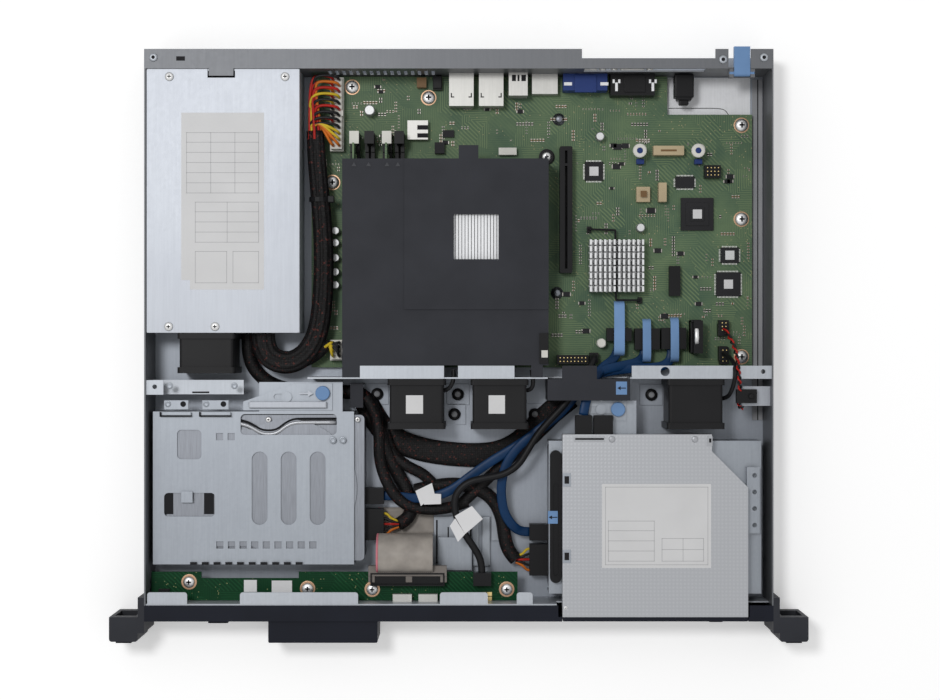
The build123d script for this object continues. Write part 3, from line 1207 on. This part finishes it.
usb_front_places = [left_in + offset for offset in USB_FRONT_X]
usb_front_z = FRONT_BOARD_TOP + USB_FRONT_HEIGHT / 2
front_board_rear = bulkhead_rear + SEAT_GAP + FRONT_BOARD_DEPTH
tag_slot_height = TAG_THICK + 2 * SLIDE_GAP
tag_slot_width = TAG_WIDTH + 2 * SLIDE_GAP
front_vent_places = (left_in + 2 * FRONT_VENTS, left_in + 7 * FRONT_VENTS, right_in - 5 * FRONT_VENTS)


def front_openings(margin):
    """Holes that the bezel and the steel wall behind it share: tag slot and front sockets."""
    holes = Pos(tag_x, TAG_Z) * Rectangle(tag_slot_width, tag_slot_height)
    for x in usb_front_places:
        holes += Pos(x, usb_front_z) * Rectangle(USB_FRONT_WIDTH + margin, USB_FRONT_HEIGHT + margin)
    return holes


def front_bezel():
    """Black front panel with its lips, vent rows, drive opening, sockets, button hole and front block."""
    drive_side = odd_left - 3 * SHEET
    panel = rectangle(left_out, right_out, EAR_BOTTOM, chassis_height)
    panel -= rectangle(odd_left - SLIDE_GAP, odd_right + SLIDE_GAP, odd_bottom, chassis_height + SHEET)
    panel -= front_openings(2 * SEAT_GAP)
    panel -= Pos(button_x, BUTTON_Z) * Rectangle(BUTTON_WIDTH + 2 * SLIDE_GAP, BUTTON_HEIGHT + 2 * SLIDE_GAP)
    bezel = extrude(facing_front(front_y + BEZEL_WALL) * panel, BEZEL_WALL)
    for x in front_vent_places:
        bezel -= slot_row(facing_front(front_y + 2 * BEZEL_WALL), x, FRONT_VENT_Z, FRONT_VENTS, 3 * BEZEL_WALL)
    bezel += span(left_out, drive_side, front_y, tray_front, chassis_height - BEZEL_LIP, chassis_height)
    bezel += span(odd_right + SHEET, right_out, front_y, tray_front, chassis_height - BEZEL_LIP, chassis_height)
    bezel += span(left_out, right_out, front_y, tray_front, EAR_BOTTOM, EAR_BOTTOM + BEZEL_LIP)
    nose_left = left_in + NOSE_LEFT
    nose = Pos(nose_left + NOSE_WIDTH / 2, front_y - NOSE_REACH / 2, chassis_height / 2)
    nose = nose * Box(NOSE_WIDTH, NOSE_REACH, chassis_height - 4 * EAR_BOTTOM)
    nose = fillet(nose.edges().filter_by(Axis.Z).group_by(Axis.Y)[0], SHEET)
    hollow = Pos(nose_left + NOSE_WIDTH / 2, front_y - NOSE_REACH / 2 + BEZEL_WALL, chassis_height / 2)
    hollow_height = chassis_height - 4 * EAR_BOTTOM - 2 * BEZEL_WALL
    hollow = hollow * Box(NOSE_WIDTH - 2 * BEZEL_WALL, NOSE_REACH, hollow_height)
    return bezel + nose - hollow


def front_bulkhead():
    """Steel wall behind the bezel with bent tabs at its top and small shelves under the front board."""
    wall = rectangle(left_in, right_in, floor_top, flange_bottom)
    wall -= rectangle(odd_left - 4 * SHEET, right_in, shelf_bottom - 2 * SHEET, chassis_height)
    wall -= front_openings(4 * SEAT_GAP)
    plate = extrude(facing_front(bulkhead_rear) * wall, SHEET)
    for x in front_vent_places:
        plate -= slot_row(facing_front(bulkhead_rear + SHEET), x, FRONT_VENT_Z, FRONT_VENTS, 3 * SHEET)
    for x0, x1 in TAB_RUNS:
        tab = rectangle(left_in + x0, left_in + x1, tray_front, bulkhead_rear + BULKHEAD_FLANGE)
        tab = fillet(tab.vertices().group_by(Axis.Y)[-1], 2 * SHEET)
        plate += flat_plate(tab, flange_bottom - SHEET, SHEET)
    shelf_z = FRONT_BOARD_TOP - BOARD_THICKNESS - SHEET
    for x0, x1 in SUPPORT_RUNS:
        plate += span(left_in + x0, left_in + x1, tray_front, bulkhead_rear + FRONT_BOARD_DEPTH / 2,
                      shelf_z, shelf_z + SHEET)
    return plate


def front_io_board():
    """Front circuit board with its two flat sockets and the long ribbon header."""
    rear = front_board_rear
    front = rear - FRONT_BOARD_DEPTH
    outline = rectangle(left_in + SHEET, left_in + FRONT_BOARD_RIGHT, front, rear)
    outline -= rectangle(left_in + BOARD_DIP[0], left_in + BOARD_DIP[1], rear - BOARD_DIP_DEPTH, rear)
    board = flat_plate(outline, FRONT_BOARD_TOP - BOARD_THICKNESS, BOARD_THICKNESS)
    pieces = [board]
    for x in usb_front_places:
        half = USB_FRONT_WIDTH / 2
        shell_front = front_y + SEAT_GAP
        shell = span(x - half, x + half, shell_front, shell_front + USB_FRONT_LENGTH, FRONT_BOARD_TOP,
                     FRONT_BOARD_TOP + USB_FRONT_HEIGHT)
        pieces.append(shell - usb_mouth(x, shell_front, usb_front_z, -1))
    x0 = left_in + HEADER_RUN[0]
    x1 = left_in + HEADER_RUN[1]
    header = span(x0, x1, rear - HEADER_DEPTH, rear, FRONT_BOARD_TOP, FRONT_BOARD_TOP + HEADER_HEIGHT)
    header -= span(x0 + SHEET, x1 - SHEET, rear - HEADER_DEPTH + SHEET, rear - SHEET,
                   FRONT_BOARD_TOP + SHEET, FRONT_BOARD_TOP + 2 * HEADER_HEIGHT)
    pieces.append(header)
    x0 = left_in + CABLE_PLUG_RUN[0]
    x1 = left_in + CABLE_PLUG_RUN[1]
    pieces.append(span(x0, x1, rear - HEADER_DEPTH, rear, FRONT_BOARD_TOP, FRONT_BOARD_TOP + HEADER_HEIGHT))
    return pieces


def power_button():
    """Rounded button in the bezel, kept in by a lip behind the panel."""
    place = Pos(button_x, BUTTON_Z)
    cap = place * RectangleRounded(BUTTON_WIDTH, BUTTON_HEIGHT, 2 * SHEET)
    lip = place * Rectangle(BUTTON_WIDTH + 6 * SLIDE_GAP, BUTTON_HEIGHT + 6 * SLIDE_GAP)
    back = front_y + BEZEL_WALL + SLIDE_GAP + SHEET
    button = extrude(facing_front(back) * cap, BEZEL_WALL + SLIDE_GAP + SHEET + BUTTON_REACH)
    return button + extrude(facing_front(back) * lip, SHEET)


def info_tag():
    """Thin pull-out tag with a thicker grip in front of the bezel."""
    blade = span(tag_x - TAG_WIDTH / 2, tag_x + TAG_WIDTH / 2, front_y - SEAT_GAP, front_y + TAG_LENGTH,
                 TAG_Z - TAG_THICK / 2, TAG_Z + TAG_THICK / 2)
    grip = Pos(tag_x, TAG_Z) * RectangleRounded(TAG_WIDTH + 2 * SHEET, 2 * TAG_LIP, SHEET)
    return blade + extrude(facing_front(front_y - SEAT_GAP) * grip, TAG_LIP)


# Rack ears

ear_out = RACK_WIDTH / 2
ear_in = right_out + EAR_GAP
ear_rear = front_y + EAR_BACK
ear_front = front_y - EAR_REACH
ear_middle_z = (EAR_BOTTOM + chassis_height) / 2
paddle_in = ear_in + EAR_WALL
paddle_out = ear_out - EAR_WALL
latch_x = paddle_in + 2 * PIN_R
latch_y = ear_front + EAR_WALL + 2 * PIN_R


def rack_ear():
    """Right-hand ear: a hollow block in front of the rack post and an arm along the case's side."""
    block = span(ear_in, ear_out, ear_front, ear_rear, EAR_BOTTOM, chassis_height)
    block = fillet(block.edges().filter_by(Axis.Z).group_by(Axis.Y)[0], 2 * SHEET)
    half = PADDLE_HEIGHT / 2 + SLIDE_GAP
    low = ear_middle_z - half
    high = ear_middle_z + half
    block -= span(paddle_in - SLIDE_GAP, paddle_out + SLIDE_GAP, ear_front - SHEET, ear_rear + SHEET, low, high)
    block -= rod_z(PIN_R + PIN_PLAY, low - EAR_WALL, high + EAR_WALL, latch_x, latch_y)
    arm = span(right_out, ear_in, ear_front + 2 * EAR_WALL, front_y + EAR_ARM_BACK, EAR_BOTTOM, chassis_height)
    return block + arm


def rack_latch():
    """Right-hand latch: a finger paddle that stands proud in front, its pin, and the hook behind."""
    half = PADDLE_HEIGHT / 2
    plan = rectangle(latch_x, paddle_out, ear_front - PADDLE_PROUD, ear_front + SHEET)
    plan += Pos(latch_x, latch_y) * Circle(2 * PIN_R)
    plan += rectangle(latch_x, latch_x + 2 * PIN_R, ear_front, latch_y)
    hook_in = latch_x - 2 * PIN_R
    hook_rear = latch_y + HOOK_LENGTH
    hook_tip = (latch_x + 2 * PIN_R, hook_rear - EAR_WALL)
    plan += make_face(Polyline((hook_in, latch_y), (hook_in, hook_rear), hook_tip, (latch_x + PIN_R, latch_y),
                               close=True))
    latch = flat_plate(plan, ear_middle_z - half, PADDLE_HEIGHT)
    pin_half = half + EAR_WALL
    return latch + rod_z(PIN_R, ear_middle_z - pin_half, ear_middle_z + pin_half, latch_x, latch_y)


# Lid switch and cable holders

switch_right = right_in - SWITCH_WALL_GAP
switch_left = switch_right - SWITCH_WIDTH
switch_rear = wall_front - 2 * BRACKET_DEPTH / 3
switch_front = switch_rear - SWITCH_DEPTH
switch_bottom = SWITCH_TOP - SWITCH_HEIGHT
plunger_x = switch_right - 2 * PLUNGER_R
plunger_y = (switch_front + switch_rear) / 2


def intrusion_switch():
    """Switch body on a small angle bracket that is fixed to the right wall."""
    body = span(switch_left, switch_right, switch_front, switch_rear, switch_bottom, SWITCH_TOP)
    body -= rod_z(PLUNGER_R + PIN_PLAY, SWITCH_TOP - PLUNGER_DEPTH, SWITCH_TOP + SHEET, plunger_x, plunger_y)
    y0 = switch_front - 2 * SHEET
    y1 = switch_rear + 2 * SHEET
    angle = span(switch_left + SWITCH_WIDTH / 3, right_in, y0, y1, switch_bottom - SHEET, switch_bottom)
    angle += span(right_in - SHEET, right_in, y0, y1, switch_bottom - SWITCH_DEPTH, switch_bottom)
    return [body, angle]


def intrusion_plunger():
    """Round-topped plunger that the lid holds down."""
    plunger = rod_z(PLUNGER_R, SWITCH_TOP - PLUNGER_DEPTH / 2, SWITCH_TOP + PLUNGER_REACH, plunger_x, plunger_y)
    return fillet(plunger.edges().group_by(Axis.Z)[-1], PLUNGER_R / 2)


def cable_guides():
    """Plastic bridge over the cables at the gap in the cross wall, and the small clip left of the fans."""
    front = wall_front - GUIDE_DEPTH
    rear = wall_front - SLIDE_GAP
    frame = rectangle(guide_left, guide_right, floor_top, GUIDE_TOP)
    frame -= rectangle(guide_left + GUIDE_WALL, guide_right - GUIDE_WALL, floor_top, GUIDE_TOP - GUIDE_WALL)
    guide = extrude(facing_front(rear) * frame, rear - front)
    x0 = guide_left + GUIDE_TONGUE[0]
    guide += span(x0, x0 + GUIDE_TONGUE[1], rear, wall_rear + WALL_FLANGE, GUIDE_TOP - GUIDE_WALL, GUIDE_TOP)
    clip_rear = wall_front - CLIP_WALL_GAP
    clip_front = clip_rear - CLIP_DEPTH
    arch = rectangle(clip_front, clip_rear, floor_top, CLIP_HEIGHT)
    arch -= rectangle(clip_front + SHEET, clip_rear - SHEET, floor_top, CLIP_HEIGHT - SHEET)
    clip = extrude(facing_right(shroud_left + CLIP_X - CLIP_WIDTH) * arch, CLIP_WIDTH)
    return [guide, clip]


# Parts on the main board

depth_lines = (front_board_rear, cage_rear, wall_front, board_front, board_front + BOARD_STRIP, board_rear)
rear_lines = (psu_right, shroud_left, shroud_right)
bay_lines = (hdd_1_right, hdd_1_right + PLUG_LENGTH, hdd_2_left - PLUG_LENGTH, hdd_2_left)


def follow(value, drawn, lines):
    """Move a drawn place along with the lines of the layout on both sides of it."""
    if value <= drawn[0]:
        return lines[0] + value - drawn[0]
    for drawn_0, drawn_1, line_0, line_1 in zip(drawn, drawn[1:], lines, lines[1:]):
        if value <= drawn_1:
            return line_0 + (value - drawn_0) * (line_1 - line_0) / (drawn_1 - drawn_0)
    return lines[-1] + value - drawn[-1]


def board_place(y):
    return follow(PLAN_DEPTHS[3] + y, PLAN_DEPTHS, depth_lines)


def on_plan(x, y, z):
    """A point of a route: in the bay between the drives it follows them, elsewhere the supply and the shroud."""
    in_bay = y < PLAN_DEPTHS[1] and x > PLAN_BAY[0]
    across = follow(x, PLAN_BAY, bay_lines) if in_bay else follow(x, PLAN_REAR, rear_lines)
    return Vector(across, follow(y, PLAN_DEPTHS, depth_lines), z)


def board_components():
    """Chips, plugs and headers as blocks, capacitors and nylon posts as rounded cans."""
    pieces = []
    for edge, blocks in ((shroud_left, LEFT_BLOCKS), (shroud_right, RIGHT_BLOCKS)):
        for x, y, width, length, height in blocks:
            place = Pos(edge + x, board_place(y), board_top + height / 2)
            pieces.append(place * Box(width, length, height))
    for edge, cans in ((shroud_left, LEFT_CANS), (shroud_right, RIGHT_CANS)):
        for x, y, radius, height in cans:
            can = rod_z(radius, board_top, board_top + height, edge + x, board_place(y))
            pieces.append(chamfer(can.edges().group_by(Axis.Z)[-1], radius / 6))
    return pieces


# Cables: each route is a list of points chosen by hand, and every corner takes the largest arc that fits

MAIN_ROUTE = (
    (-137, -8, 24), (-130, -17.5, 23.5), (-117, -20, 23), (-105.5, -11.5, 23),
    (-99.8, 5, 23), (-97, 36, 23), (-96.5, 74, 23), (-98.5, 104, 23), (-99, 127, 23), (-98.2, 150, 23),
    (-98.6, 172, 23),
)
DRIVE_ROUTE = (
    (-149, -12, 11), (-145, -24, 11), (-134.5, -33.5, 11.3),
    (-118, -38.8, 11.7), (-99, -40.3, 11.7), (-81, -39.5, 11.7), (-69.5, -40.5, 11.7),
    (-61.5, -48, 11.7), (-57.5, -61, 11.5),
    (-53, -78, 10.5), (-45, -95, 8.5), (-37, -108.5, 7.8), (-33, -122, 7.8), (-36.5, -130, 9.2),
    (-44.5, -133, 11.7), (-53, -133, 11.7),
)
BRANCH_ROUTE = (
    (49.6, -158, 11.7), (41, -158, 11.7), (34.5, -152, 11.7), (32, -141, 11.7), (30.5, -128, 11.7),
    (24.5, -115.5, 11.7), (13, -107.5, 11.7), (-2, -104.5, 11.7), (-17, -106, 10.5), (-31, -109.5, 9),
)
SLEEVE_ROUTE = (
    (-56.5, -68, 3.2), (-48, -76, 3.2), (-35.5, -83.5, 3.2), (-19, -89.5, 3.2), (-2, -92.5, 3.2),
    (16, -92, 3.2), (31, -89, 3.2), (43.5, -82.5, 3.2), (52, -73.5, 3.2), (58.5, -63.5, 3.2),
    (67.5, -53, 3.2), (79, -43.5, 3.2),
)
DATA_ROUTE = (
    (150, -9.6, 12), (150, -15.6, 12), (146, -20.5, 13), (139, -22.5, 14.5), (127, -22.8, 16), (113, -24, 17),
    (101, -26, 18), (91.5, -30, 19), (84.5, -37, 20), (77.5, -47, 20), (68, -57.5, 20), (54, -68.6, 20),
    (38, -79, 20), (22, -88.5, 20), (8, -98.5, 20), (-4, -108, 20), (-17, -113.3, 19.3), (-30, -114.6, 17),
    (-39, -113.8, 14), (-46.5, -113, 11.7), (-53, -113, 11.7),
)
USB_ROUTE = (
    (12, -150, 28), (5, -140, 28), (-0.5, -130, 28),
    (-3.5, -119.5, 28), (-2, -109.5, 28), (6.5, -101.8, 28), (19, -99.4, 28), (32, -97, 28),
    (42, -90, 28), (48.5, -79, 28),
    (55.5, -68, 28), (64, -58.5, 28), (73, -49, 28), (80, -39.5, 28), (86.5, -30, 27), (91, -22.8, 25),
    (94, -17.8, 22.3), (94.9, -15.6, 19.4), (94.9, -15.6, 15.1),
)
RIBBON_ROUTE = (
    (-4.25, 26.5), (-4.05, 34), (1.25, 38.6), (8.25, 37.6), (13.25, 31), (15.25, 20), (18.25, 9), (26.25, 3.4),
    (41.25, 2.6), (59.25, 2.4),
)


def cable(name, points, section, across=None):
    """Sweep a section along straight runs and tangent arcs."""
    radii = []
    for before, here, after in zip(points, points[1:], points[2:]):
        turn = (here - before).get_angle(after - here)
        shorter = min((here - before).length, (after - here).length)
        radii.append(ARC_SHARE * shorter / tan(radians(turn / 2)))
    print(name, "arc radii", [round(radius, 1) for radius in radii])
    path = FilletPolyline(*points, radius=radii)
    start = points[1] - points[0]
    plane = Plane(points[0], x_dir=across or start.cross(Vector(0, 0, 1)), z_dir=start)
    return sweep(plane * section, path=path)


def psu_exit(number):
    return Vector(psu_left + PSU_EXIT_X[number], psu_front + PSU_WALL, PSU_EXIT_Z[number])


def main_power_harness():
    points = [psu_exit(0)] + [on_plan(*point) for point in MAIN_ROUTE]
    return cable("main_power_harness", points, Circle(PSU_EXIT_R[0]))


def drive_power_harness():
    """Round harness to the left drive, its branch to the right drive and the flat sleeve on the floor."""
    tube = Circle(PSU_EXIT_R[1])
    trunk = [psu_exit(1)] + [on_plan(*point) for point in DRIVE_ROUTE]
    branch = [on_plan(*point) for point in BRANCH_ROUTE]
    sleeve = [on_plan(*point) for point in SLEEVE_ROUTE]
    return [cable("drive_harness", trunk, tube), cable("drive_branch", branch, tube),
            cable("flat_sleeve", sleeve, Rectangle(*SLEEVE_SIZE))]


def signal_cables():
    """Bundle of flat data cables and the round cable from the front sockets."""
    data = cable("data_cables", [on_plan(*point) for point in DATA_ROUTE], Circle(DATA_R))
    plug_x = left_in + USB_CABLE_X
    plug = Vector(plug_x, front_board_rear, USB_CABLE_Z)
    front = [plug, plug + Vector(0, PLUG_RUN, 0)] + [on_plan(*point) for point in USB_ROUTE]
    return [data, cable("usb_cable", front, Circle(USB_CABLE_R))]


def front_ribbon_cable():
    points = [Vector(left_in + RIBBON_X, front_board_rear + y, z) for y, z in RIBBON_ROUTE]
    return cable("front_ribbon_cable", points, Rectangle(*RIBBON_SIZE), across=(1, 0, 0))


# Nodes

nodes = {
    "chassis_base": chassis_base(),
    "rear_panel": rear_panel(),
    "expansion_latch": expansion_catch(),
    "psu_case": psu_case(),
    "psu_lid": psu_lid(),
    "psu_inlet": psu_inlet(),
    "fan_wall": fan_wall(),
    "motherboard": motherboard(),
    "board_standoffs": board_standoffs(),
    "processor_socket": processor_socket(),
    "cpu_heatsink": cpu_heatsink(),
    "air_shroud": air_shroud(),
    "dimm_sockets": [dimm_socket(x) for x in dimm_places],
    "memory_modules": memory_modules(),
    "expansion_slot": expansion_slot(),
    "chipset_heatsink": chipset_heatsink(),
    "power_sockets": power_sockets(),
    "network_sockets": [network_socket(x) for x in network_places],
    "usb_sockets": usb_sockets(),
    "d_sub_sockets": [d_sub_socket(x, length) for x, length in zip(dsub_places, DSUB_LENGTH)],
    "board_components": board_components(),
    "hard_drives": [hard_drive(cage_left, hdd_1_front, False), hard_drive(hdd_2_left, hdd_2_front, True)],
    "drive_cage_left": drive_cage_left(),
    "drive_latch_left": drive_latch_left(),
    "drive_carrier_right": drive_carrier_right(),
    "carrier_lever": carrier_lever(),
    "optical_drive_case": optical_drive_case(),
    "optical_drive_tray": optical_drive_tray(),
    "eject_button": eject_button(),
    "optical_drive_latch": optical_drive_latch(),
    "drive_plugs": drive_plugs(),
    "front_bezel": front_bezel(),
    "front_bulkhead": front_bulkhead(),
    "front_io_board": front_io_board(),
    "power_button": power_button(),
    "info_tag": info_tag(),
    "rack_ear_right": rack_ear(),
    "rack_latch_right": rack_latch(),
    "rack_ear_left": mirror(rack_ear(), Plane.YZ),
    "rack_latch_left": mirror(rack_latch(), Plane.YZ),
    "intrusion_switch": intrusion_switch(),
    "intrusion_plunger": intrusion_plunger(),
    "cable_guides": cable_guides(),
    "main_power_harness": main_power_harness(),
    "drive_power_harness": drive_power_harness(),
    "signal_cables": signal_cables(),
    "front_ribbon_cable": front_ribbon_cable(),
    "psu_fan_housing": fan_housing(psu_fan_x, psu_front - PSU_FAN_DEPTH, PSU_FAN_DEPTH),
    "psu_fan_rotor": fan_rotor(psu_fan_x, psu_front - PSU_FAN_DEPTH, PSU_FAN_DEPTH),
}
for number, x in enumerate(dimm_places, start=1):
    nodes[f"dimm_latch_{number}"] = dimm_latch(x)
for number, x in enumerate(fan_places, start=1):
    nodes[f"fan_{number}_housing"] = fan_housing(x, fan_front, FAN_DEPTH)
    nodes[f"fan_{number}_rotor"] = fan_rotor(x, fan_front, FAN_DEPTH)

os.makedirs("parts", exist_ok=True)
for name, shape in nodes.items():
    pieces = shape if isinstance(shape, list) else [shape]
    solids = [solid for piece in pieces for solid in piece.solids()]
    export_step(solids[0] if len(solids) == 1 else Compound(children=solids), f"parts/{name}.step")
print(len(nodes), "nodes")
